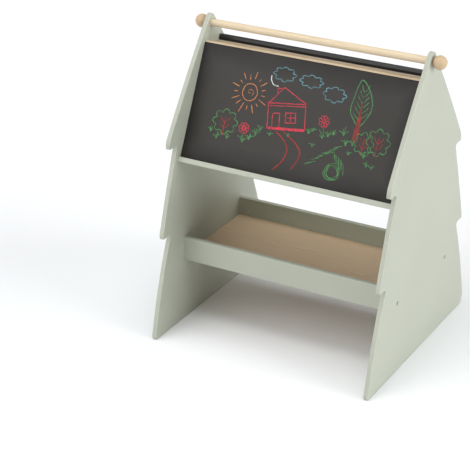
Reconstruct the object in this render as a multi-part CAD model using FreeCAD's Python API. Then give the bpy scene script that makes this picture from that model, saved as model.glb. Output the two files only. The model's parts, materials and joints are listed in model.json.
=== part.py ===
import FreeCAD, Part
import math
import os

# Kids easel: two fir-tree side panels joined by a leaning chalkboard with a pencil ledge,
# a top shelf, a toy bin, a paper roll dowel with ball knobs and a paper guide bar.
# Millimetres. X runs from the left panel to the right, -Y is the front, +Z is up.
# The origin is on the floor, in the middle of the easel.

Vector = FreeCAD.Vector

# ---- driving dimensions ----
EASEL_WIDTH = 712.0            # over the outer faces of the side panels
EASEL_HEIGHT = 920.0
BASE_DEPTH = 692.0
PANEL_THICKNESS = 14.0         # side panels
BOARD_THICKNESS = 15.0         # rails, ledge, shelf and chalkboard

# tree outline: height where each tier starts and how far its flank leans from the vertical
TIP_ARC_RADIUS = 50.0          # turns a tier's flank upright just above its tip
TIP_CORNER_RADIUS = 4.0
NOTCH_RADIUS = 8.0
FRONT_FOOT_RADIUS = 10.0
BACK_FOOT_RADIUS = 28.0
CROWN_RADIUS = 16.0
RIM_RADIUS = 2.0
TOP_TIER_BASE_Z = 577.0
TOP_TIER_LEAN = (38.4, 34.4)
MIDDLE_TIER_START_Y = 204.0
MIDDLE_TIER_BASE_Z = 309.0
MIDDLE_TIER_LEAN = (19.9, 17.2)
BOTTOM_TIER_LEAN = (23.1, 12.35)
TIP_UPRIGHT = 6.0              # short upright stretch below the tip arc

# chalkboard
BOARD_LEAN = 25.4              # degrees from the vertical
BOARD_TOP_Y = -41.0            # top edge of the writing face
BOARD_TOP_Z = 845.7
BOARD_LENGTH = 341.2           # down the writing face
FACE_SHEET = 1.0

# pencil ledge, square to the board
LEDGE_DEPTH = 42.0
LEDGE_PROUD = 15.0             # in front of the writing face

# top shelf
SHELF_TOP_Z = 831.0
SHELF_BACK_Y = 34.0

# toy bin
BIN_OUTER_Y = 176.0
BIN_BOTTOM_Z = 197.5
RAIL_HEIGHT = 75.0
RAIL_EDGE_RADIUS = 2.5
FLOOR_TOP_Z = 212.5
FLOOR_THICKNESS = 9.0
FLOOR_GROOVE = 5.0

# paper roll dowel and knobs
DOWEL_Z = 893.0
DOWEL_RADIUS = 11.0
DOWEL_CLEARANCE = 0.08
KNOB_RADIUS = 20.0
KNOB_FLAT = 1.0                # taken off the ball where it meets the dowel's end
KNOB_PROUD = 0.3               # dowel end stands this far out of the panel
STUD_RADIUS = 3.0
STUD_IN_DOWEL = 30.0
STUD_IN_KNOB = 16.0
INSERT_RADIUS = 5.0
INSERT_LENGTH = 14.0
THREAD_CLEARANCE = 0.05

# paper guide bar
BAR_Y = 48.7
BAR_Z = 835.5
BAR_RADIUS = 10.0
BAR_WALL = 1.5
BAR_END_GAP = 1.0
PLUG_DEPTH = 18.0
PIVOT_RADIUS = 4.0
PIVOT_DEPTH = 7.0
PIVOT_CLEARANCE = 0.06

# joinery
PIN_RADIUS = 4.0               # wooden locating dowels
PIN_IN_PANEL = 8.0
PIN_IN_MEMBER = 20.0
BOLT_Z = 228.5
BOLT_RADIUS = 3.0
BOLT_HOLE_RADIUS = 3.3
BOLT_HEAD_RADIUS = 6.5
BOLT_HEAD_HEIGHT = 2.4
BOLT_HEAD_RECESS = 3.4
BOLT_HEX = 4.0                 # hexagon socket, across its flats
BOLT_SOCKET_DEPTH = 2.0
BOLT_LENGTH = 55.0
NUT_RADIUS = 5.0
NUT_LENGTH = 12.0
NUT_FROM_PANEL = 34.0
RAIL_PIN_HEIGHTS = (217.5, 258.0)   # under and over the bolt, clear of the floor
BOARD_PIN_DROPS = (40.0, 165.0, 300.0)   # down the board
BOARD_CAM_DROPS = (95.0, 240.0)
LEDGE_PIN_PLACES = (-7.0, 19.0)      # behind the writing face
LEDGE_CAM_PLACE = 6.0
SHELF_PIN_YS = (-14.0, 22.0)
SHELF_CAM_Y = 4.0
CAM_RADIUS = 7.5
CAM_HEIGHT = 12.0
CAM_FROM_PANEL = 34.0
CAM_SKIN = 0.5                 # cam face below the board's surface
CAM_BOLT_RADIUS = 3.0
CAM_NECK_RADIUS = 2.0
CAM_HEAD_RADIUS = 3.4
CAM_HEAD_LENGTH = 5.0
CAM_THREAD_RADIUS = 2.5
CAM_THREAD_DEPTH = 9.0
CAM_CHANNEL_RADIUS = 4.0

# ---- derived sizes ----
HALF_WIDTH = EASEL_WIDTH / 2
INNER_X = HALF_WIDTH - PANEL_THICKNESS
LEAN_TAN = math.tan(math.radians(BOARD_LEAN))
LEAN_COS = math.cos(math.radians(BOARD_LEAN))
LEAN_SIN = math.sin(math.radians(BOARD_LEAN))
RAIL_Y = BIN_OUTER_Y - BOARD_THICKNESS / 2
LEDGE_MIDDLE = BOARD_LENGTH + BOARD_THICKNESS / 2      # down the writing face
SHELF_MIDDLE_Z = SHELF_TOP_Z - BOARD_THICKNESS / 2
SIDES = (-1, 1)


def on_board(down, behind):
    """(y, z) of a point this far down the writing face and this far behind it."""
    y = BOARD_TOP_Y - down * LEAN_SIN + behind * LEAN_COS
    z = BOARD_TOP_Z - down * LEAN_COS - behind * LEAN_SIN
    return y, z


def board_back_y(z):
    """Y of the chalkboard's back at height z."""
    return BOARD_TOP_Y - (BOARD_TOP_Z - z) * LEAN_TAN + BOARD_THICKNESS / LEAN_COS


def rod(start, direction, radius, length):
    """Round solid from a point along a direction."""
    return Part.makeCylinder(radius, length, start, direction)


def prism_across(points_yz, half_length):
    """Straight member across the easel with the given cross-section."""
    corners = [Vector(-half_length, y, z) for y, z in points_yz]
    face = Part.Face(Part.makePolygon(corners + corners[:1]))
    return face.extrude(Vector(2 * half_length, 0, 0))


def block(y_range, z_range, half_length):
    """Straight rectangular member across the easel."""
    (y0, y1), (z0, z1) = y_range, z_range
    return prism_across([(y0, z0), (y1, z0), (y1, z1), (y0, z1)], half_length)


def round_long_edges(solid, radius, keep=lambda point: True):
    """Round the edges that run across the easel."""
    edges = []
    for edge in solid.Edges:
        along = edge.Vertexes[-1].Point - edge.Vertexes[0].Point
        middle = (edge.Vertexes[-1].Point + edge.Vertexes[0].Point) * 0.5
        if abs(along.x) > INNER_X and keep(middle):
            edges.append(edge)
    return solid.makeFillet(radius, edges)


# ---- side panels ----
def leaning_arc(start, end_z, lean_start, lean_end):
    """Gentle arc down a flank, between two leans from the vertical, and its end point."""
    turn = math.radians(lean_start - lean_end)
    chord_lean = math.radians((lean_start + lean_end) / 2)
    chord = (start.z - end_z) / math.cos(chord_lean)
    along = Vector(0, math.sin(chord_lean), -math.cos(chord_lean))
    outward = Vector(0, math.cos(chord_lean), math.sin(chord_lean))
    end = start + along * chord
    bulge = chord / 2 * math.tan(turn / 4)
    middle = start + along * (chord / 2) + outward * bulge
    return Part.Arc(start, middle, end).toShape(), end


def tier_tip(start, lean, base_z):
    """Arc that turns the flank upright, and the upright stretch to the tier's base."""
    turn = math.radians(lean)
    centre = start - Vector(0, math.cos(turn), math.sin(turn)) * TIP_ARC_RADIUS
    middle = centre + Vector(0, math.cos(turn / 2), math.sin(turn / 2)) * TIP_ARC_RADIUS
    end = centre + Vector(0, TIP_ARC_RADIUS, 0)
    corner = Vector(0, end.y, base_z)
    return [Part.Arc(start, middle, end).toShape(), Part.makeLine(end, corner)], corner


def tier_with_tip(start, base_z, lean):
    """A tier's flank from its start down to the sharp corner at its tip."""
    tip_start_z = base_z + TIP_UPRIGHT + TIP_ARC_RADIUS * math.sin(math.radians(lean[1]))
    flank, flank_end = leaning_arc(start, tip_start_z, lean[0], lean[1])
    tip, corner = tier_tip(flank_end, lean[1], base_z)
    return [flank] + tip, corner


def back_half_outline():
    """Edges of the tree outline from the crown down the back to the floor, and the key corners."""
    crown_turn = math.radians(90 - TOP_TIER_LEAN[0])
    crown_centre = Vector(0, 0, EASEL_HEIGHT - CROWN_RADIUS)

    def on_crown(angle):
        return crown_centre + Vector(0, math.sin(angle), math.cos(angle)) * CROWN_RADIUS

    crown = Part.Arc(on_crown(0), on_crown(crown_turn / 2), on_crown(crown_turn)).toShape()
    top_tier, top_tip = tier_with_tip(on_crown(crown_turn), TOP_TIER_BASE_Z, TOP_TIER_LEAN)
    upper_notch = Vector(0, MIDDLE_TIER_START_Y, TOP_TIER_BASE_Z)
    middle_tier, middle_tip = tier_with_tip(upper_notch, MIDDLE_TIER_BASE_Z, MIDDLE_TIER_LEAN)

    # the bottom flank is worked out upwards from the foot, so that the base has its full depth
    rise = math.radians(sum(BOTTOM_TIER_LEAN) / 2)
    lower_notch = Vector(0, BASE_DEPTH / 2 - MIDDLE_TIER_BASE_Z * math.tan(rise), MIDDLE_TIER_BASE_Z)
    bottom_flank, foot = leaning_arc(lower_notch, 0, *BOTTOM_TIER_LEAN)
    edges = [crown] + top_tier + [Part.makeLine(top_tip, upper_notch)]
    edges += middle_tier + [Part.makeLine(middle_tip, lower_notch), bottom_flank]
    corners = {
        TIP_CORNER_RADIUS: [top_tip, middle_tip],
        NOTCH_RADIUS: [upper_notch, lower_notch],
    }
    return edges, corners, foot


def tree_plate(x_start):
    """Side panel without its holes, from x_start towards +X."""
    edges, corners, foot = back_half_outline()
    mirrored = [edge.mirror(Vector(0, 0, 0), Vector(0, 1, 0)) for edge in edges]
    base = Part.makeLine(foot, Vector(0, -foot.y, 0))
    wire = Part.Wire(Part.__sortEdges__(edges + mirrored + [base]))
    plate = Part.Face(wire).extrude(Vector(PANEL_THICKNESS, 0, 0))
    for radius, points in corners.items():
        places = [(point.y * side, point.z) for point in points for side in SIDES]
        plate = plate.makeFillet(radius, edges_along_x(plate, places))
    plate = plate.makeFillet(FRONT_FOOT_RADIUS, edges_along_x(plate, [(-foot.y, 0)]))
    plate = plate.makeFillet(BACK_FOOT_RADIUS, edges_along_x(plate, [(foot.y, 0)]))
    plate.translate(Vector(x_start, 0, 0))
    return plate.makeFillet(RIM_RADIUS, rim_edges(plate, x_start))


def edges_along_x(solid, places):
    """Straight edges parallel to X at the given (y, z) places."""
    found = []
    for edge in solid.Edges:
        a, b = edge.Vertexes[0].Point, edge.Vertexes[-1].Point
        if abs(a.x - b.x) < 1.0:
            continue
        if any(math.hypot(a.y - y, a.z - z) < 0.01 for y, z in places):
            found.append(edge)
    return found


def rim_edges(plate, x_start):
    """All edges of the plate's two large faces."""
    planes = (x_start, x_start + PANEL_THICKNESS)
    found = []
    for edge in plate.Edges:
        box = edge.BoundBox
        if any(abs(box.XMin - x) < 0.01 and abs(box.XMax - x) < 0.01 for x in planes):
            found.append(edge)
    return found


def side_panel(side):
    """One side panel with every hole that the cross members need."""
    x_start = INNER_X if side > 0 else -HALF_WIDTH
    panel = tree_plate(x_start)
    inner = side * INNER_X
    outward = Vector(side, 0, 0)
    holes = []
    for y, z in pin_places():
        holes.append(rod(Vector(inner - side, y, z), outward, PIN_RADIUS, PIN_IN_PANEL + 1))
    for y, z, _ in cam_places():
        holes.append(rod(Vector(inner - side, y, z), outward, CAM_THREAD_RADIUS, CAM_THREAD_DEPTH + 1))
    for y in bolt_ys():
        holes.append(rod(Vector(inner - side, y, BOLT_Z), outward, BOLT_HOLE_RADIUS, PANEL_THICKNESS + 2))
        recess_start = Vector(side * (HALF_WIDTH - BOLT_HEAD_RECESS), y, BOLT_Z)
        holes.append(rod(recess_start, outward, BOLT_HEAD_RADIUS + 0.3, BOLT_HEAD_RECESS + 1))
    dowel_hole = DOWEL_RADIUS + DOWEL_CLEARANCE
    holes.append(rod(Vector(inner - side, 0, DOWEL_Z), outward, dowel_hole, PANEL_THICKNESS + 2))
    pivot_hole = PIVOT_RADIUS + PIVOT_CLEARANCE
    holes.append(rod(Vector(inner - side, BAR_Y, BAR_Z), outward, pivot_hole, PIVOT_DEPTH + 2))
    return panel.cut(holes)


# ---- places of the joinery, the same on both sides ----
def bolt_ys():
    return [side * RAIL_Y for side in SIDES]


def rail_pins():
    return [(y, z) for y in bolt_ys() for z in RAIL_PIN_HEIGHTS]


def board_pins():
    return [on_board(drop, BOARD_THICKNESS / 2) for drop in BOARD_PIN_DROPS]


def ledge_pins():
    return [on_board(LEDGE_MIDDLE, behind) for behind in LEDGE_PIN_PLACES]


def shelf_pins():
    return [(y, SHELF_MIDDLE_Z) for y in SHELF_PIN_YS]


def pin_places():
    return rail_pins() + board_pins() + ledge_pins() + shelf_pins()


BACK_OF_BOARD = Vector(0, LEAN_COS, -LEAN_SIN)
DOWN_THE_BOARD = Vector(0, -LEAN_SIN, -LEAN_COS)
DOWN = Vector(0, 0, -1)


def board_cams():
    return [(*on_board(drop, BOARD_THICKNESS / 2), BACK_OF_BOARD) for drop in BOARD_CAM_DROPS]


def ledge_cams():
    return [(*on_board(LEDGE_MIDDLE, LEDGE_CAM_PLACE), DOWN_THE_BOARD)]


def shelf_cams():
    return [(SHELF_CAM_Y, SHELF_MIDDLE_Z, DOWN)]


def cam_places():
    """(y, z, direction of the face that the cam is let into)."""
    return board_cams() + ledge_cams() + shelf_cams()


# ---- joinery pieces ----
def locating_pins(places):
    """Wooden dowels between the panels and a cross member."""
    length = PIN_IN_PANEL + PIN_IN_MEMBER
    pins = []
    for side in SIDES:
        for y, z in places:
            start = Vector(side * (INNER_X + PIN_IN_PANEL), y, z)
            pins.append(rod(start, Vector(-side, 0, 0), PIN_RADIUS, length))
    return Part.makeCompound(pins)


def pin_holes(places):
    depth = PIN_IN_MEMBER + 5
    return [
        rod(Vector(side * (INNER_X + 5), y, z), Vector(-side, 0, 0), PIN_RADIUS, depth)
        for side in SIDES
        for y, z in places
    ]


def cam_centre(side, y, z):
    return Vector(side * (INNER_X - CAM_FROM_PANEL), y, z)


def cam_pockets(places):
    """Pockets for the cams and channels for their bolts."""
    cuts = []
    for side in SIDES:
        for y, z, face in places:
            centre = cam_centre(side, y, z)
            bottom = centre + face * (BOARD_THICKNESS / 2 - CAM_SKIN - CAM_HEIGHT)
            cuts.append(rod(bottom, face, CAM_RADIUS, CAM_HEIGHT + CAM_SKIN + 1))
            cuts.append(rod(centre, Vector(side, 0, 0), CAM_CHANNEL_RADIUS, CAM_FROM_PANEL + 1))
    return cuts


def cam_locks():
    """Round cams that grip the heads of the cam bolts."""
    cams = []
    for side in SIDES:
        for y, z, face in cam_places():
            centre = cam_centre(side, y, z)
            bottom = centre + face * (BOARD_THICKNESS / 2 - CAM_SKIN - CAM_HEIGHT)
            cam = rod(bottom, face, CAM_RADIUS, CAM_HEIGHT)
            mouth = rod(centre, Vector(side, 0, 0), CAM_CHANNEL_RADIUS, CAM_RADIUS + 1)
            socket_start = bottom + face * (CAM_HEIGHT - 2)
            slot = Part.makeBox(8, 1.2, 3, Vector(-4, -0.6, 0))
            cross = slot.fuse(Part.makeBox(1.2, 8, 3, Vector(-0.6, -4, 0)))
            cross.Placement = FreeCAD.Placement(socket_start, FreeCAD.Rotation(Vector(0, 0, 1), face))
            cams.append(cam.cut([mouth, cross]))
    return Part.makeCompound(cams)


def cam_bolts():
    """Steel bolts that screw into the panels and reach into the cams."""
    bolts = []
    for side in SIDES:
        inward = Vector(-side, 0, 0)
        for y, z, _ in cam_places():
            thread_start = Vector(side * (INNER_X + CAM_THREAD_DEPTH), y, z)
            panel_face = Vector(side * INNER_X, y, z)
            head_start = panel_face + inward * (CAM_FROM_PANEL - CAM_HEAD_LENGTH - 0.5)
            neck_start = head_start - inward * 3.0
            thread = rod(thread_start, inward, CAM_THREAD_RADIUS, CAM_THREAD_DEPTH)
            shank_length = (neck_start - panel_face).Length
            shank = rod(panel_face, inward, CAM_BOLT_RADIUS, shank_length)
            neck = rod(neck_start, inward, CAM_NECK_RADIUS, 3.0)
            head = rod(head_start, inward, CAM_HEAD_RADIUS, CAM_HEAD_LENGTH)
            bolts.append(thread.fuse([shank, neck, head]))
    return Part.makeCompound(bolts)


def hexagon_across_x(centre, across_flats):
    """Regular hexagon face square to X."""
    reach = across_flats / math.sqrt(3)
    corners = []
    for step in range(6):
        angle = math.radians(60 * step)
        corners.append(centre + Vector(0, math.cos(angle), math.sin(angle)) * reach)
    return Part.Face(Part.makePolygon(corners + corners[:1]))


def bin_bolts():
    """Socket-head connecting bolts through the panels into the bin rails."""
    bolts = []
    for side in SIDES:
        inward = Vector(-side, 0, 0)
        for y in bolt_ys():
            head_start = Vector(side * (HALF_WIDTH - BOLT_HEAD_RECESS + BOLT_HEAD_HEIGHT), y, BOLT_Z)
            head = rod(head_start, inward, BOLT_HEAD_RADIUS, BOLT_HEAD_HEIGHT)
            rim = [edge for edge in head.Edges if abs(edge.BoundBox.XMin - head_start.x) < 0.01]
            head = head.makeFillet(0.8, [edge for edge in rim if edge.BoundBox.XLength < 0.01])
            shank = rod(head_start, inward, BOLT_RADIUS, BOLT_LENGTH)
            socket = hexagon_across_x(head_start, BOLT_HEX).extrude(inward * BOLT_SOCKET_DEPTH)
            bolts.append(head.fuse(shank).cut(socket))
    return Part.makeCompound(bolts)


def barrel_nuts():
    """Cross dowels in the rails that the bin bolts screw into."""
    nuts = []
    for side in SIDES:
        x = side * (INNER_X - NUT_FROM_PANEL)
        for y in bolt_ys():
            start = Vector(x, y - NUT_LENGTH / 2, BOLT_Z)
            nut = rod(start, Vector(0, 1, 0), NUT_RADIUS, NUT_LENGTH)
            bore = rod(Vector(x - 2 * NUT_RADIUS, y, BOLT_Z), Vector(1, 0, 0), BOLT_RADIUS, 4 * NUT_RADIUS)
            nuts.append(nut.cut(bore))
    return Part.makeCompound(nuts)


# ---- cross members ----
def chalkboard_core():
    """Leaning board of natural wood: level along its top, square along its bottom."""
    section = [
        on_board(BOARD_LENGTH, FACE_SHEET),
        on_board(BOARD_LENGTH, BOARD_THICKNESS),
        (BOARD_TOP_Y + BOARD_THICKNESS / LEAN_COS, BOARD_TOP_Z),
        (BOARD_TOP_Y + FACE_SHEET / LEAN_COS, BOARD_TOP_Z),
    ]
    core = prism_across(section, INNER_X)
    return core.cut(pin_holes(board_pins()) + cam_pockets(board_cams()))


def chalk_face():
    """Thin black writing sheet on the front of the board."""
    section = [
        on_board(BOARD_LENGTH, 0),
        on_board(BOARD_LENGTH, FACE_SHEET),
        (BOARD_TOP_Y + FACE_SHEET / LEAN_COS, BOARD_TOP_Z),
        (BOARD_TOP_Y, BOARD_TOP_Z),
    ]
    return prism_across(section, INNER_X)


def pencil_ledge():
    """Strip square to the board that the board stands on, proud of it at the front."""
    behind = LEDGE_DEPTH - LEDGE_PROUD
    section = [
        on_board(BOARD_LENGTH, -LEDGE_PROUD),
        on_board(BOARD_LENGTH + BOARD_THICKNESS, -LEDGE_PROUD),
        on_board(BOARD_LENGTH + BOARD_THICKNESS, behind),
        on_board(BOARD_LENGTH, behind),
    ]
    ledge = round_long_edges(prism_across(section, INNER_X), RIM_RADIUS)
    return ledge.cut(pin_holes(ledge_pins()) + cam_pockets(ledge_cams()))


def top_shelf():
    """Level shelf under the paper roll; its front edge is cut to the back of the board."""
    bottom = SHELF_TOP_Z - BOARD_THICKNESS
    section = [
        (board_back_y(bottom), bottom),
        (SHELF_BACK_Y, bottom),
        (SHELF_BACK_Y, SHELF_TOP_Z),
        (board_back_y(SHELF_TOP_Z), SHELF_TOP_Z),
    ]
    shelf = prism_across(section, INNER_X)
    shelf = round_long_edges(shelf, RIM_RADIUS, keep=lambda point: point.y > 0)
    return shelf.cut(pin_holes(shelf_pins()) + cam_pockets(shelf_cams()))


def bin_rail(side):
    """Front (-1) or back (+1) rail of the toy bin, grooved for the floor."""
    y_outer = side * BIN_OUTER_Y
    y_inner = side * (BIN_OUTER_Y - BOARD_THICKNESS)
    y_range = (min(y_outer, y_inner), max(y_outer, y_inner))
    rail = block(y_range, (BIN_BOTTOM_Z, BIN_BOTTOM_Z + RAIL_HEIGHT), INNER_X)
    rail = round_long_edges(rail, RAIL_EDGE_RADIUS)
    groove_range = (y_inner - side, y_inner + side * FLOOR_GROOVE)
    floor_z = (FLOOR_TOP_Z - FLOOR_THICKNESS, FLOOR_TOP_Z)
    cuts = [block((min(groove_range), max(groove_range)), floor_z, HALF_WIDTH)]
    cuts += pin_holes([place for place in rail_pins() if place[0] * side > 0])
    y = side * RAIL_Y
    for end in SIDES:
        mouth = Vector(end * (INNER_X + 1), y, BOLT_Z)
        cuts.append(rod(mouth, Vector(-end, 0, 0), BOLT_HOLE_RADIUS, BOLT_LENGTH))
        nut_bottom = Vector(end * (INNER_X - NUT_FROM_PANEL), y + side * NUT_LENGTH / 2, BOLT_Z)
        cuts.append(rod(nut_bottom, Vector(0, -side, 0), NUT_RADIUS, BOARD_THICKNESS))
    return rail.cut(cuts)


def bin_floor():
    """Plywood floor of the toy bin, held in the rails' grooves."""
    reach = BIN_OUTER_Y - BOARD_THICKNESS + FLOOR_GROOVE
    return block((-reach, reach), (FLOOR_TOP_Z - FLOOR_THICKNESS, FLOOR_TOP_Z), INNER_X)


# ---- paper roll dowel and knobs ----
DOWEL_END_X = HALF_WIDTH + KNOB_PROUD
KNOB_CENTRE_X = DOWEL_END_X + KNOB_RADIUS - KNOB_FLAT


def paper_roll_dowel():
    """Round wooden dowel that passes through both panels."""
    dowel = rod(Vector(-DOWEL_END_X, 0, DOWEL_Z), Vector(1, 0, 0), DOWEL_RADIUS, 2 * DOWEL_END_X)
    bores = []
    for side in SIDES:
        mouth = Vector(side * (DOWEL_END_X + 1), 0, DOWEL_Z)
        bores.append(rod(mouth, Vector(-side, 0, 0), STUD_RADIUS, STUD_IN_DOWEL + 1))
    return dowel.cut(bores)


def knob(side):
    """Wooden ball with a flat and a bore for its threaded insert."""
    centre = Vector(side * KNOB_CENTRE_X, 0, DOWEL_Z)
    ball = Part.makeSphere(KNOB_RADIUS, centre)
    ball.rotate(centre, Vector(0, 1, 0), 90)
    inward = Vector(-side, 0, 0)
    flat = rod(Vector(side * DOWEL_END_X, 0, DOWEL_Z), inward, KNOB_RADIUS, KNOB_RADIUS)
    bore_start = Vector(side * (DOWEL_END_X - 1), 0, DOWEL_Z)
    insert_bore = rod(bore_start, Vector(side, 0, 0), INSERT_RADIUS, INSERT_LENGTH + 1)
    stud_bore = rod(bore_start, Vector(side, 0, 0), STUD_RADIUS + THREAD_CLEARANCE, STUD_IN_KNOB + 2)
    return ball.cut([flat, insert_bore, stud_bore])


def knob_insert(side):
    """Threaded brass sleeve let into the ball."""
    start = Vector(side * DOWEL_END_X, 0, DOWEL_Z)
    sleeve = rod(start, Vector(side, 0, 0), INSERT_RADIUS, INSERT_LENGTH)
    return sleeve.cut(rod(start, Vector(side, 0, 0), STUD_RADIUS + THREAD_CLEARANCE, INSERT_LENGTH))


def knob_stud(side):
    """Threaded stud fixed in the dowel's end."""
    start = Vector(side * (DOWEL_END_X - STUD_IN_DOWEL), 0, DOWEL_Z)
    return rod(start, Vector(side, 0, 0), STUD_RADIUS, STUD_IN_DOWEL + STUD_IN_KNOB)


# ---- paper guide bar ----
BAR_END_X = INNER_X - BAR_END_GAP


def guide_bar_tube():
    """Black round tube that keeps the paper down on the shelf."""
    start = Vector(-BAR_END_X, BAR_Y, BAR_Z)
    tube = rod(start, Vector(1, 0, 0), BAR_RADIUS, 2 * BAR_END_X)
    return tube.cut(rod(start, Vector(1, 0, 0), BAR_RADIUS - BAR_WALL, 2 * BAR_END_X))


def guide_bar_plugs():
    """End plugs of the tube, with the pivots that turn in the panels."""
    plugs = []
    for side in SIDES:
        start = Vector(side * (BAR_END_X - PLUG_DEPTH), BAR_Y, BAR_Z)
        body = rod(start, Vector(side, 0, 0), BAR_RADIUS - BAR_WALL, PLUG_DEPTH)
        pivot_length = PLUG_DEPTH + BAR_END_GAP + PIVOT_DEPTH
        plugs.append(body.fuse(rod(start, Vector(side, 0, 0), PIVOT_RADIUS, pivot_length)))
    return Part.makeCompound(plugs)


NODES = {
    "left_side_panel": lambda: side_panel(-1),
    "right_side_panel": lambda: side_panel(1),
    "chalkboard_core": chalkboard_core,
    "chalk_face": chalk_face,
    "pencil_ledge": pencil_ledge,
    "top_shelf": top_shelf,
    "bin_front_rail": lambda: bin_rail(-1),
    "bin_back_rail": lambda: bin_rail(1),
    "bin_floor": bin_floor,
    "paper_roll_dowel": paper_roll_dowel,
    "left_knob": lambda: knob(-1),
    "right_knob": lambda: knob(1),
    "left_knob_insert": lambda: knob_insert(-1),
    "right_knob_insert": lambda: knob_insert(1),
    "left_knob_stud": lambda: knob_stud(-1),
    "right_knob_stud": lambda: knob_stud(1),
    "guide_bar_tube": guide_bar_tube,
    "guide_bar_plugs": guide_bar_plugs,
    "bin_bolts": bin_bolts,
    "barrel_nuts": barrel_nuts,
    "rail_dowels": lambda: locating_pins(rail_pins()),
    "board_dowels": lambda: locating_pins(board_pins()),
    "ledge_dowels": lambda: locating_pins(ledge_pins()),
    "shelf_dowels": lambda: locating_pins(shelf_pins()),
    "cam_bolts": cam_bolts,
    "cam_locks": cam_locks,
}


def main():
    os.makedirs("parts", exist_ok=True)
    for name, make in NODES.items():
        shape = make()
        print(name, "valid" if shape.isValid() else "NOT VALID", "solids", len(shape.Solids))
        shape.exportStep("parts/" + name + ".step")


main()
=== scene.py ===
import json
import math
import random

import bpy
from mathutils import Matrix, Vector


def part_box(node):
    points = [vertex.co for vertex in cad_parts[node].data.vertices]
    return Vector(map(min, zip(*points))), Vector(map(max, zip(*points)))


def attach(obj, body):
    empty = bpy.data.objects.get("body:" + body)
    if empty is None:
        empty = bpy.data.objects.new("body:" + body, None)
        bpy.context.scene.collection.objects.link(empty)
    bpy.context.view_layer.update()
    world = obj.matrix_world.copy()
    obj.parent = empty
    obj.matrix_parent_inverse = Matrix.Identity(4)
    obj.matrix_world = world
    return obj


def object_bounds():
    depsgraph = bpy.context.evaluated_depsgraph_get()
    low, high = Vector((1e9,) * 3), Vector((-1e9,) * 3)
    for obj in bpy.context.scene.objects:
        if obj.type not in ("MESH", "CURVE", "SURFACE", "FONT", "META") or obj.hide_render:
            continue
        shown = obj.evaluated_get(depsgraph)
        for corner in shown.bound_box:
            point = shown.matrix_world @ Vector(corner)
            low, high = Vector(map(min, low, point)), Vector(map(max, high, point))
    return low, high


# Kids easel. Metres, in the CAD frame: X runs from the left side panel to the right one,
# -Y is the chalkboard side and Z is up, with the origin on the floor.

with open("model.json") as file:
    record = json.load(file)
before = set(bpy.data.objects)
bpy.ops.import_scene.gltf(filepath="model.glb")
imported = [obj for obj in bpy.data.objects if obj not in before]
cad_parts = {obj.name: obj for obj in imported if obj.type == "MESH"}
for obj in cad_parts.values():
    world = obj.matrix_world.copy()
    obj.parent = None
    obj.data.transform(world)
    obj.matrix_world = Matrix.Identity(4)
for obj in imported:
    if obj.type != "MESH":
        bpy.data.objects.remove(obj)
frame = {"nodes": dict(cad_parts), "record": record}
cad_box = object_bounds()
NODES = frame["nodes"]
SCENE = bpy.context.scene


# ---------------------------------------------------------------- camera
AZIMUTH = math.radians(29.96)
ELEVATION = math.radians(25.69)
ROLL = math.radians(-0.14)
DISTANCE = 4.756               # from the aim point to the camera
AIM = Vector((-0.2556, -0.0191, 0.2339))
LENS = 119.0                   # millimetres, on the sensor width below
SENSOR_WIDTH = 36.0


def make_camera():
    back = Vector((
        math.sin(AZIMUTH) * math.cos(ELEVATION),
        -math.cos(AZIMUTH) * math.cos(ELEVATION),
        math.sin(ELEVATION),
    ))
    level_right = Vector((math.cos(AZIMUTH), math.sin(AZIMUTH), 0))
    right = Matrix.Rotation(ROLL, 3, back) @ level_right
    up = back.cross(right)
    camera = bpy.data.objects.new("camera", bpy.data.cameras.new("camera"))
    SCENE.collection.objects.link(camera)
    camera.data.sensor_width = SENSOR_WIDTH
    camera.data.lens = LENS
    camera.data.clip_end = 100
    turn = Matrix((right, up, back)).transposed()
    camera.matrix_world = Matrix.Translation(AIM + back * DISTANCE) @ turn.to_4x4()
    SCENE.camera = camera


make_camera()


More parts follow.
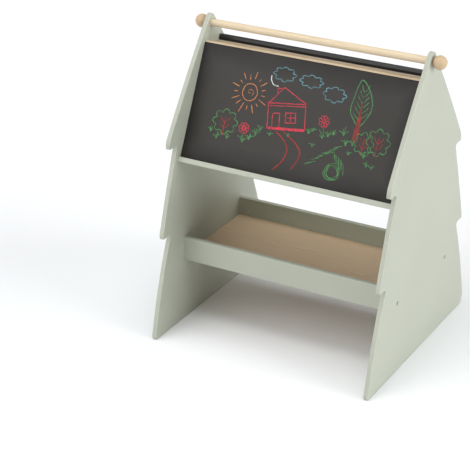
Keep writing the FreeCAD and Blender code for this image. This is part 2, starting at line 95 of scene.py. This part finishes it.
# ---------------------------------------------------------------- materials
class Shader:
    """A principled material and short ways to add and join its nodes."""

    def __init__(self, name, **constants):
        self.material = bpy.data.materials.new(name)
        self.material.use_nodes = True
        self.tree = self.material.node_tree
        self.shader = self.tree.nodes["Principled BSDF"]
        for socket, value in constants.items():
            self.shader.inputs[socket.replace("_", " ")].default_value = value
        self.place = self.add("ShaderNodeTexCoord").outputs["Object"]

    def add(self, kind, settings=None, **inputs):
        made = self.tree.nodes.new(kind)
        for key, value in (settings or {}).items():
            setattr(made, key, value)
        for key, value in inputs.items():
            self.feed(made.inputs[key.replace("_", " ")], value)
        return made

    def feed(self, socket, value):
        if isinstance(value, bpy.types.NodeSocket):
            self.tree.links.new(value, socket)
        else:
            socket.default_value = value

    def scaled(self, scale, offset=(0, 0, 0), turn=(0, 0, 0), source=None):
        made = self.add("ShaderNodeMapping", Vector=source or self.place)
        made.inputs["Scale"].default_value = scale
        made.inputs["Location"].default_value = offset
        made.inputs["Rotation"].default_value = turn
        return made.outputs[0]

    def noise(self, place, scale, detail=4.0, roughness=0.5, distortion=0.0):
        made = self.add("ShaderNodeTexNoise", Vector=place, Scale=scale, Detail=detail,
                        Roughness=roughness, Distortion=distortion)
        return made.outputs["Fac"]

    def math(self, operation, a, b=0.0):
        made = self.add("ShaderNodeMath", {"operation": operation})
        self.feed(made.inputs[0], a)
        self.feed(made.inputs[1], b)
        return made.outputs[0]

    def ranged(self, value, low, high, to_low=0.0, to_high=1.0):
        made = self.add("ShaderNodeMapRange", {"clamp": True})
        for key, number in (("Value", value), ("From Min", low), ("From Max", high),
                            ("To Min", to_low), ("To Max", to_high)):
            self.feed(made.inputs[key], number)
        return made.outputs["Result"]

    def mixed(self, amount, a, b, blend="MIX"):
        made = self.add("ShaderNodeMix", {"data_type": "RGBA", "blend_type": blend})
        self.feed(made.inputs["Factor"], amount)
        self.feed(made.inputs["A"], a if isinstance(a, bpy.types.NodeSocket) else (*a, 1))
        self.feed(made.inputs["B"], b if isinstance(b, bpy.types.NodeSocket) else (*b, 1))
        return next(s for s in made.outputs if s.type == "RGBA")

    def bump(self, height, strength, depth):
        made = self.add("ShaderNodeBump", Height=height, Strength=strength, Distance=depth)
        self.feed(self.shader.inputs["Normal"], made.outputs[0])

    def finish(self, colour, roughness):
        self.feed(self.shader.inputs["Base Color"], colour)
        self.feed(self.shader.inputs["Roughness"], roughness)
        return self.material


def linear(red, green, blue):
    """Display colour, 0 to 255, as linear light."""
    def one(value):
        value /= 255
        return value / 12.92 if value <= 0.04045 else ((value + 0.055) / 1.055) ** 2.4
    return one(red), one(green), one(blue)


def tinted(colour, factor):
    return tuple(min(1.0, channel * factor) for channel in colour)


def rim_wear_and_highlight(s):
    """Where a panel's rounded rim is paler, part rubbed paint and part painted highlight of the
    light it catches: its surface there faces neither along X nor across.
    """
    normal = s.add("ShaderNodeTexCoord").outputs["Normal"]
    facing = s.math("ABSOLUTE", s.add("ShaderNodeSeparateXYZ", Vector=normal).outputs["X"])
    rim = s.math("MULTIPLY", s.ranged(facing, 0.15, 0.4), s.ranged(facing, 0.85, 0.97, 1.0, 0.0))
    return s.math("MULTIPLY", rim, s.ranged(s.noise(s.place, 22.0, detail=5), 0.35, 0.6, 0.4, 1.0))


def painted_board(name, colour):
    """Satin sprayed paint on board: faint cloudiness, orange peel, a few soft rubs and paler rims
    that are part wear and part painted highlight.
    """
    s = Shader(name, Specular_IOR_Level=0.4)
    clouds = s.noise(s.place, 5.0, detail=3)
    specks = s.noise(s.place, 420.0, detail=2)
    rubs = s.ranged(s.noise(s.scaled((1, 1, 0.35)), 14.0, detail=6, roughness=0.7), 0.62, 0.8)
    base = s.mixed(s.ranged(clouds, 0.3, 0.7), tinted(colour, 0.965), tinted(colour, 1.03))
    base = s.mixed(s.ranged(specks, 0.35, 0.75, 0.0, 0.10), base, tinted(colour, 0.86))
    base = s.mixed(s.math("MULTIPLY", rubs, 0.25), base, tinted(colour, 1.12))
    # paler rims: part rubbed paint, part painted highlight where the rounded rims catch the light
    base = s.mixed(s.math("MULTIPLY", rim_wear_and_highlight(s), 0.55), base, tinted(colour, 1.25))
    rough = s.math("ADD", s.ranged(clouds, 0.3, 0.7, 0.40, 0.50), s.math("MULTIPLY", rubs, 0.1))
    s.bump(s.noise(s.place, 700.0, detail=2), 0.25, 0.00012)
    return s.finish(base, rough)


def wood(name, early, late, across, rings=55.0, fibre=0.35, flecks=0.3, roughness=0.42, shift=0.0):
    """Lacquered wood with its grain along X: growth rings, fibres and short dark flecks."""
    s = Shader(name, Specular_IOR_Level=0.4)
    drift = s.noise(s.scaled((0.9, 3.0, 3.0), (shift, shift, 0)), 2.2, detail=3)
    bend = s.add("ShaderNodeVectorMath", {"operation": "SCALE"})
    s.feed(bend.inputs[0], s.add("ShaderNodeCombineXYZ", X=0.0, Y=drift, Z=drift).outputs[0])
    bend.inputs["Scale"].default_value = 0.10
    moved = s.add("ShaderNodeVectorMath", {"operation": "ADD"})
    s.feed(moved.inputs[0], s.scaled((0.06, 1, 1), (0, across[0], across[1])))
    s.feed(moved.inputs[1], bend.outputs[0])
    ring = s.add("ShaderNodeTexWave", {"wave_type": "RINGS", "rings_direction": "X",
                                       "wave_profile": "SAW"},
                 Vector=moved.outputs[0], Scale=rings, Distortion=1.4, Detail=3.0,
                 Detail_Scale=1.5, Detail_Roughness=0.6).outputs["Fac"]
    fibres = s.noise(s.scaled((9, 520, 520)), 1.0, detail=5, roughness=0.6)
    dashes = s.ranged(s.noise(s.scaled((38, 900, 900)), 1.0, detail=2), 0.64, 0.74)
    tone = s.noise(s.scaled((1.2, 5, 5), (0, shift, shift)), 1.0, detail=2)
    base = s.mixed(s.math("MULTIPLY", s.math("POWER", ring, 2.2), 0.75), early, late)
    base = s.mixed(s.ranged(fibres, 0.3, 0.7, 0.0, fibre), base, tinted(late, 0.93))
    base = s.mixed(s.math("MULTIPLY", dashes, flecks), base, tinted(late, 0.62))
    base = s.mixed(s.ranged(tone, 0.35, 0.65, 0.0, 0.25), base, tinted(early, 1.05))
    rough = s.ranged(fibres, 0.3, 0.7, roughness - 0.04, roughness + 0.10)
    s.bump(s.math("ADD", fibres, s.math("MULTIPLY", ring, 0.4)), 0.22, 0.00025)
    return s.finish(base, rough)


BOARD_HALF_WIDTH = 0.342
BOARD_HEIGHTS = (0.5375, 0.8457)      # bottom and top edge of the writing face
EDGE_SHADE_BORDER = 0.055               # painted shade darkens the board over this much of its edges


def chalkboard_black(name):
    """Matt blackboard paint with wiped chalk dust, and painted shade that darkens it towards the
    edges.
    """
    s = Shader(name, Specular_IOR_Level=0.35)
    black, dusty = linear(33, 32, 30), linear(63, 60, 57)
    split = s.add("ShaderNodeSeparateXYZ", Vector=s.place)
    side_gap = s.math("SUBTRACT", BOARD_HALF_WIDTH, s.math("ABSOLUTE", split.outputs["X"]))
    low_gap = s.math("SUBTRACT", split.outputs["Z"], BOARD_HEIGHTS[0])
    high_gap = s.math("SUBTRACT", BOARD_HEIGHTS[1], split.outputs["Z"])
    edge_gap = s.math("MINIMUM", side_gap, s.math("MINIMUM", low_gap, high_gap))
    wander = s.noise(s.place, 9.0, detail=3)
    edge_gap = s.math("ADD", edge_gap, s.ranged(wander, 0.3, 0.7, -0.012, 0.012))
    # painted shade: less dust colour, so the board turns darker, within this border of its edges
    middle = s.ranged(edge_gap, 0.0, EDGE_SHADE_BORDER, 0.1, 0.85)
    wipes = s.noise(s.scaled((1.3, 5, 5), turn=(0, 0.35, 0.2)), 3.0, detail=6, roughness=0.62,
                    distortion=0.6)
    grain = s.noise(s.place, 900.0, detail=3)
    dust = s.math("MULTIPLY", middle, s.ranged(wipes, 0.35, 0.75, 0.75, 1.15))
    base = s.mixed(dust, black, dusty)
    base = s.mixed(s.ranged(grain, 0.4, 0.75, 0.0, 0.12), base, tinted(dusty, 1.5))
    s.bump(grain, 0.35, 0.00015)
    return s.finish(base, s.ranged(wipes, 0.3, 0.8, 0.62, 0.85))


def chalk(name, colour):
    """Chalk rubbed on the board: grainy, with the black showing through."""
    s = Shader(name, Specular_IOR_Level=0.1)
    grain = s.noise(s.place, 620.0, detail=4, roughness=0.7)
    patches = s.noise(s.place, 60.0, detail=2)
    gaps = s.ranged(s.math("ADD", grain, s.math("MULTIPLY", patches, 0.4)), 0.56, 0.74)
    base = s.mixed(gaps, linear(66, 64, 61), colour)
    s.bump(grain, 0.6, 0.0003)
    return s.finish(base, 0.95)


def black_powder_coat(name):
    s = Shader(name, Specular_IOR_Level=0.6)
    grain = s.noise(s.place, 1100.0, detail=2)
    rubs = s.noise(s.scaled((2, 40, 40)), 1.0, detail=4)
    base = s.mixed(s.ranged(rubs, 0.4, 0.7, 0.0, 0.5), linear(13, 13, 14), linear(27, 27, 28))
    s.bump(grain, 0.2, 0.0001)
    return s.finish(base, s.ranged(rubs, 0.35, 0.7, 0.26, 0.38))


def moulded_black(name):
    s = Shader(name)
    grain = s.noise(s.place, 1500.0, detail=2)
    base = s.mixed(grain, linear(22, 22, 22), linear(38, 38, 38))
    s.bump(grain, 0.3, 0.0001)
    return s.finish(base, 0.5)


def metal(name, colour, roughness):
    """Plated or turned metal with fine scratches."""
    s = Shader(name, Metallic=1.0)
    scratches = s.noise(s.scaled((300, 1400, 1400)), 1.0, detail=4)
    stain = s.noise(s.place, 90.0, detail=3)
    base = s.mixed(s.ranged(stain, 0.35, 0.7), tinted(colour, 0.82), colour)
    s.bump(scratches, 0.15, 0.0001)
    return s.finish(base, s.ranged(scratches, 0.3, 0.7, roughness - 0.06, roughness + 0.12))


SAGE = tinted(linear(207, 212, 195), 0.69)
materials = {
    "sage_paint": painted_board("sage_paint", SAGE),
    # the shelf's wood: the pale wood made darker, as painted shade
    "shaded_shelf_wood": wood("shaded_shelf_wood", linear(190, 172, 145), linear(170, 146, 115), (0.31, 0.47)),
    "pale_wood": wood("pale_wood", linear(210, 192, 164), linear(190, 164, 130), (0.31, 0.47)),
    "plywood": wood("plywood", linear(208, 186, 158), linear(184, 156, 124), (0.9, 0.22),
                    rings=38.0, shift=3.0),
    "dowel_wood": wood("dowel_wood", linear(224, 207, 178), linear(203, 180, 146), (0.05, 0.72),
                       rings=70.0, flecks=0.35, shift=7.0),
    "beech": wood("beech", linear(203, 178, 146), linear(181, 150, 114), (0.04, 0.83),
                  rings=80.0, flecks=0.55, shift=11.0),
    "chalk_black": chalkboard_black("chalk_black"),
    "black_paint": black_powder_coat("black_paint"),
    "black_plastic": moulded_black("black_plastic"),
    "steel": metal("steel", (0.60, 0.60, 0.61), 0.32),
    "cast_zinc": metal("cast_zinc", (0.52, 0.52, 0.53), 0.45),
    "brass": metal("brass", (0.72, 0.55, 0.26), 0.30),
}

# the top shelf's wood is painted a little darker than the other pale wood, as painted shade from
# the bar and dowel above it
for part in frame["record"]["subparts"]:
    node = NODES[part["node"]]
    node.data.materials.clear()
    look = "shaded_shelf_wood" if part["node"] == "top_shelf" else part["material_slot"]
    node.data.materials.append(materials[look])


# ---------------------------------------------------------------- the board's plane
BOARD_LEAN = math.radians(25.4)      # from the vertical
FACE_SHEET = 0.001                   # thickness of the black face
face_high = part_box("chalk_face")[1]
FRONT_TOP = Vector((0, face_high.y - FACE_SHEET / math.cos(BOARD_LEAN), face_high.z))
DOWN_SLOPE = Vector((0, -math.sin(BOARD_LEAN), -math.cos(BOARD_LEAN)))
OUT_OF_BOARD = Vector((0, -math.cos(BOARD_LEAN), math.sin(BOARD_LEAN)))


def on_board(x, down, lift=0.0):
    """Point on the writing face: millimetres across from the middle and down from the top."""
    point = FRONT_TOP + DOWN_SLOPE * (down / 1000) + OUT_OF_BOARD * lift
    return Vector((x / 1000, point.y, point.z))


# ---------------------------------------------------------------- chalk drawing
# Places in the drawing are millimetres across from the board's middle and down from its top.
CHALK_WIDTH = 2.5
THIN_CHALK = 1.9
CHALK_LIFT = 0.0003            # metres: a stroke's middle stands this far off the board
CHALK_EDGE_LIFT = 0.00005
STEP = 4.0                     # millimetres between points along a stroke
HAND_SHAKE = 0.5               # millimetres that a point may wander each way
WIDTH_SPREAD = (0.72, 1.18)    # least and greatest share of a stroke's half width
TAPER = 0.45                   # share of the width at a stroke's ends
draw = random.Random(5)


def spline(a, b, c, d, t):
    """One coordinate of the smooth curve from b to c, at share t of the way."""
    return 0.5 * (2 * b + (c - a) * t + (2 * a - 5 * b + 4 * c - d) * t * t
                  + (3 * b - a - 3 * c + d) * t ** 3)


def smooth_path(points, closed):
    """Smooth curve through given points, as closely spaced points."""
    count = len(points)
    path = []
    for i in range(count if closed else count - 1):
        if closed:
            a, b, c, d = (points[(i + k) % count] for k in (-1, 0, 1, 2))
        else:
            b, c = points[i], points[i + 1]
            a = points[i - 1] if i else b
            d = points[i + 2] if i + 2 < count else c
        pieces = max(2, int(math.dist(b, c) / STEP))
        for k in range(pieces):
            t = k / pieces
            path.append(tuple(spline(*four, t) for four in zip(a, b, c, d)))
    path.append(points[0] if closed else points[-1])
    return path


def straight_path(points, closed):
    """Straight runs from point to point, as closely spaced points."""
    path = []
    for a, b in zip(points, points[1:] + (points[:1] if closed else [])):
        pieces = max(2, int(math.dist(a, b) / STEP))
        for k in range(pieces):
            path.append(tuple(a[n] + (b[n] - a[n]) * k / pieces for n in (0, 1)))
    path.append(points[0] if closed else points[-1])
    return path


def around(x, y, reach, angle):
    """Point at this distance and angle from a middle."""
    return x + reach * math.cos(angle), y + reach * math.sin(angle)


class Chalk:
    """Strokes of one colour, gathered into one thin raised mesh."""

    def __init__(self, name, colour):
        self.name, self.colour = name, colour
        self.vertices, self.faces = [], []

    def stroke(self, points, closed=False, width=CHALK_WIDTH, straight=False):
        path = (straight_path if straight else smooth_path)(points, closed)
        path = [(x + draw.uniform(-HAND_SHAKE, HAND_SHAKE),
                 y + draw.uniform(-HAND_SHAKE, HAND_SHAKE)) for x, y in path]
        first = len(self.vertices)
        for i, (x, y) in enumerate(path):
            before, after = path[max(0, i - 1)], path[min(len(path) - 1, i + 1)]
            along = Vector((after[0] - before[0], after[1] - before[1])).normalized()
            side = Vector((-along.y, along.x)) * width / 2
            ends = TAPER if i in (0, len(path) - 1) and not closed else 1.0
            left, right = (side * ends * draw.uniform(*WIDTH_SPREAD) for _ in (0, 1))
            self.vertices += [
                on_board(x + left.x, y + left.y, CHALK_EDGE_LIFT),
                on_board(x + left.x * 0.5, y + left.y * 0.5, CHALK_LIFT),
                on_board(x - right.x * 0.5, y - right.y * 0.5, CHALK_LIFT),
                on_board(x - right.x, y - right.y, CHALK_EDGE_LIFT),
            ]
            if i:
                here, last = first + 4 * i, first + 4 * (i - 1)
                self.faces += [(last + k, last + k + 1, here + k + 1, here + k) for k in range(3)]

    def make(self):
        mesh = bpy.data.meshes.new(self.name)
        mesh.from_pydata(self.vertices, [], self.faces)
        mesh.materials.append(chalk(self.name, self.colour))
        for face in mesh.polygons:
            face.use_smooth = True
        piece = bpy.data.objects.new(self.name, mesh)
        SCENE.collection.objects.link(piece)
        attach(piece, "easel_frame")


def ring(x, y, radius, count=10, wobble=0.06):
    """Hand-drawn round: points of a loop that isn't quite a circle."""
    points = []
    for k in range(count):
        angle = 2 * math.pi * k / count
        reach = radius * (1 + draw.uniform(-wobble, wobble))
        points.append(around(x, y, reach, angle))
    return points


def puffs(chalk_piece, x, y, width, height, bumps):
    """Closed row of round bumps, for clouds and leafy crowns, drawn one arc at a time."""
    for k in range(bumps):
        start = 2 * math.pi * k / bumps + 0.35
        end = start + 2 * math.pi / bumps
        arc = []
        for part in range(7):
            share = part / 6
            angle = start + (end - start) * share
            swell = 0.80 + 0.30 * math.sin(math.pi * share)
            arc.append((x + width / 2 * swell * math.cos(angle),
                        y + height / 2 * swell * math.sin(angle)))
        chalk_piece.stroke(arc, width=THIN_CHALK * 1.15)


def draw_sun(orange):
    x, y = -163, 118
    orange.stroke(ring(x, y, 24, 12, 0.04), closed=True)
    spiral = [around(x, y, 1.55 * k, k * 0.9) for k in range(9)]
    orange.stroke(spiral, width=THIN_CHALK)
    rays = 17
    for k in range(rays):
        angle = 2 * math.pi * k / rays + 0.1
        near = 36 + draw.uniform(-2, 4)
        far = (64 if k % 2 else 52) + draw.uniform(-4, 4)
        orange.stroke([around(x, y, near, angle), around(x, y, far, angle)], straight=True)


def draw_house(red):
    red.stroke([(-98, 137), (-86, 208), (30, 194), (18, 122)], closed=True, straight=True)
    red.stroke([(-97, 138), (-58, 86), (19, 121)], straight=True)
    red.stroke([(-92, 144), (18, 129)], straight=True, width=THIN_CHALK)
    red.stroke([(-76, 109), (-78, 92), (-66, 90), (-65, 96)], straight=True)
    red.stroke([(-72, 205), (-78, 164), (-56, 160), (-50, 202)], straight=True)
    red.stroke([(-38, 156), (-34, 184), (-2, 179), (-7, 151)], closed=True, straight=True)
    red.stroke([(-22, 154), (-18, 181)], straight=True, width=THIN_CHALK)
    red.stroke([(-36, 170), (-4, 165)], straight=True, width=THIN_CHALK)
    for lift in (0, 4):
        red.stroke([(-84, 209 - lift), (-28, 203 - lift), (30, 196 - lift)], width=3.4)


def draw_flower(red, green, x, y, size):
    petals = 8
    spread = 0.36
    for k in range(petals):
        angle = 2 * math.pi * k / petals + 0.2
        red.stroke([around(x, y, size * 0.5, angle), around(x, y, size * 1.7, angle - spread),
                    around(x, y, size * 2.1, angle), around(x, y, size * 1.7, angle + spread)],
                   closed=True, width=THIN_CHALK)
    red.stroke(ring(x, y, size * 0.5, 6), closed=True, width=THIN_CHALK)
    green.stroke([(x + 2, y + size * 2.4), (x + 4, y + size * 3.6), (x + 3, y + size * 5.2)])
    for side in (-1, 1):
        green.stroke([(x + 3, y + size * 4.8), (x + 3 + side * size, y + size * 3.6),
                      (x + 3 + side * size * 1.7, y + size * 3.1)], width=THIN_CHALK)


def draw_leaf_tree(green, trunk, x, top, base, half_width):
    """Tall tree: a leaf-shaped crown with side veins over a scribbled trunk."""
    height = base - top
    crown_base = base - height * 0.26
    green.stroke([(x - 3, crown_base), (x - half_width, crown_base - height * 0.20),
                  (x - half_width * 0.95, crown_base - height * 0.44), (x - half_width * 0.5, top),
                  (x + half_width * 0.5, top + height * 0.16),
                  (x + half_width, crown_base - height * 0.34),
                  (x + half_width * 0.65, crown_base - height * 0.12), (x + 6, crown_base)])
    for k in range(6):
        y = crown_base - height * (0.10 + 0.09 * k)
        reach = half_width * (0.75 - 0.07 * k)
        green.stroke([(x, y), (x - reach * 0.6, y - 8), (x - reach, y - 20)], width=THIN_CHALK)
        green.stroke([(x + 2, y - 3), (x + reach * 0.6, y - 12), (x + reach, y - 22)],
                     width=THIN_CHALK)
    for k in range(5):
        foot = x - 8 + 4 * k
        trunk.stroke([(foot, base + draw.uniform(-3, 3)), (x - 5 + 2.6 * k, crown_base),
                      (x - 2 + k, crown_base - height * draw.uniform(0.18, 0.42))], width=2.2)


def draw_bush(green, trunk, x, y, width, height):
    puffs(green, x, y, width, height, 8)
    trunk.stroke([(x, y + height * 0.62), (x - 1, y + height * 0.2), (x + 1, y - height * 0.22)])
    for side in (-1, 1):
        for rise in (0.30, 0.05):
            trunk.stroke([(x, y + height * rise),
                          (x + side * width * 0.14, y + height * (rise - 0.12)),
                          (x + side * width * 0.22, y + height * (rise - 0.28))], width=THIN_CHALK)


def draw_tuft(green, x, y, blades, size):
    """Blades of grass fanned out from one root."""
    for k in range(blades):
        lean = (k / max(1, blades - 1) - 0.5) * 1.7 + draw.uniform(-0.15, 0.15)
        reach = size * draw.uniform(0.7, 1.1)
        tip = (x + reach * math.sin(lean), y - reach * math.cos(lean))
        middle = (x + reach * 0.45 * math.sin(lean * 0.5), y - reach * 0.5 * math.cos(lean * 0.5))
        green.stroke([(x + 2 * lean, y), middle, tip], width=THIN_CHALK)


def draw_hatching(green, start, end, strokes, reach):
    """Loose slanting strokes side by side."""
    for k in range(strokes):
        share = k / (strokes - 1)
        x = start[0] + (end[0] - start[0]) * share + draw.uniform(-2, 2)
        y = start[1] + (end[1] - start[1]) * share + draw.uniform(-2, 2)
        end_x = x + reach[0] * draw.uniform(0.7, 1.1)
        end_y = y + reach[1] * draw.uniform(0.7, 1.1)
        green.stroke([(x, y), (end_x, end_y)], straight=True, width=THIN_CHALK)


def draw_path(dark_red):
    for shift in (0, 2.5):
        dark_red.stroke([(-58 + shift, 212), (-28 + shift, 232), (-12 + shift, 256),
                         (-18 + shift, 288), (-42 + shift, 320)], width=THIN_CHALK)
        dark_red.stroke([(-34 + shift, 209), (4 + shift, 230), (28 + shift, 254), (26 + shift, 282),
                         (12 + shift, 310)], width=THIN_CHALK)


# place, number of blades and height of each tuft of grass
TUFTS = (
    (-262, 250, 4, 16), (-240, 268, 5, 20), (-206, 262, 4, 18), (-158, 260, 6, 20),
    (-136, 252, 5, 20), (-118, 236, 5, 22), (-106, 220, 4, 18), (-74, 228, 3, 13),
    (-18, 220, 4, 12), (44, 200, 4, 16), (56, 192, 4, 14), (64, 234, 5, 15),
    (88, 206, 5, 18), (104, 198, 5, 20), (120, 190, 4, 16), (150, 186, 5, 26),
    (162, 212, 4, 24), (182, 210, 5, 18), (176, 236, 4, 16), (222, 236, 4, 18),
    (236, 258, 3, 16), (252, 262, 3, 14),
)


def draw_ground(green):
    for x, y, blades, size in TUFTS:
        draw_tuft(green, x, y, blades, size)
    draw_hatching(green, (50, 286), (128, 226), 9, (26, -12))
    draw_hatching(green, (132, 232), (170, 262), 8, (6, 30))
    draw_hatching(green, (96, 246), (120, 240), 4, (18, -3))
    for scale in (1.0, 0.86, 0.7):
        green.stroke(ring(139, 291, 24 * scale, 9, 0.12), closed=True, width=THIN_CHALK)


def draw_picture():
    orange = Chalk("chalk_sun", linear(216, 140, 92))
    blue = Chalk("chalk_clouds", linear(112, 166, 178))
    white = Chalk("chalk_white", linear(222, 226, 226))
    red = Chalk("chalk_house", linear(222, 70, 88))
    green = Chalk("chalk_green", linear(92, 156, 96))
    trunk = Chalk("chalk_trunks", linear(168, 66, 62))
    dark_red = Chalk("chalk_path", linear(170, 62, 56))
    draw_sun(orange)
    draw_house(red)
    puffs(blue, -66, 50, 66, 38, 8)
    puffs(blue, 20, 56, 68, 33, 8)
    puffs(blue, 98, 80, 66, 40, 8)
    white.stroke([(-106, 58), (-104, 72), (-94, 84), (-78, 86)], width=3.0)
    draw_leaf_tree(green, trunk, 186, 26, 196, 30)
    draw_bush(green, trunk, -222, 214, 74, 66)
    draw_bush(green, trunk, 214, 196, 56, 58)
    draw_bush(green, trunk, 256, 186, 66, 70)
    draw_flower(red, green, -158, 222, 8)
    draw_flower(red, green, 84, 158, 8)
    draw_ground(green)
    draw_path(dark_red)
    for piece in (orange, blue, white, red, green, trunk, dark_red):
        piece.make()


draw_picture()


# ---------------------------------------------------------------- floor and light
FLOOR_SIZE = 30
FLOOR_GAP = 0.0005             # between the feet and the floor
FLOOR_TONES = ((0.872, 0.888, 0.907), (0.878, 0.894, 0.913))


def make_floor():
    bpy.ops.mesh.primitive_plane_add(size=FLOOR_SIZE, location=(0, 0, cad_box[0].z - FLOOR_GAP))
    floor = bpy.context.object
    floor.name = "floor"
    s = Shader("floor", Specular_IOR_Level=0.1)
    tone = s.noise(s.place, 0.6, detail=2)
    s.finish(s.mixed(tone, *FLOOR_TONES), 0.9)
    floor.data.materials.append(s.material)


# direction the light comes from, its angular width in degrees and its strength
SUNS = {
    "front_left": ((-0.7, -0.7, 0.5), 70, 1.75),
    "right_low": ((1.0, 0.1, 0.2), 45, 2.55),
    "overhead": ((0.0, 0.0, 1.0), 45, 1.8),
    "right_front": ((0.8, -0.6, 0.6), 70, 0.35),
    "top_front": ((0.0, -1.0, 1.0), 70, 0.35),
}
SKY_LIGHT = 0.05
SKY_SEEN = 1.0
SKY_MIRRORED = 0.25


def make_sky():
    """White to the eye, dim as a light, and a quarter bright in reflections."""
    SCENE.world = SCENE.world or bpy.data.worlds.new("studio")
    SCENE.world.use_nodes = True
    tree = SCENE.world.node_tree
    sky = tree.nodes["Background"]
    sky.inputs["Color"].default_value = (1.0, 1.0, 1.0, 1)
    path = tree.nodes.new("ShaderNodeLightPath")
    strength = None
    for seen, amount in (("Is Glossy Ray", SKY_MIRRORED), ("Is Camera Ray", SKY_SEEN)):
        choose = tree.nodes.new("ShaderNodeMix")
        tree.links.new(path.outputs[seen], choose.inputs["Factor"])
        if strength is None:
            choose.inputs["A"].default_value = SKY_LIGHT
        else:
            tree.links.new(strength, choose.inputs["A"])
        choose.inputs["B"].default_value = amount
        strength = choose.outputs["Result"]
    tree.links.new(strength, sky.inputs["Strength"])


def make_light():
    make_sky()
    for name, (source, width, strength) in SUNS.items():
        lamp = bpy.data.lights.new(name, "SUN")
        lamp.angle = math.radians(width)
        lamp.energy = strength
        light = bpy.data.objects.new(name, lamp)
        light.rotation_euler = Vector(source).to_track_quat("Z", "Y").to_euler()
        SCENE.collection.objects.link(light)
    SCENE.view_settings.view_transform = "Standard"


make_floor()
make_light()
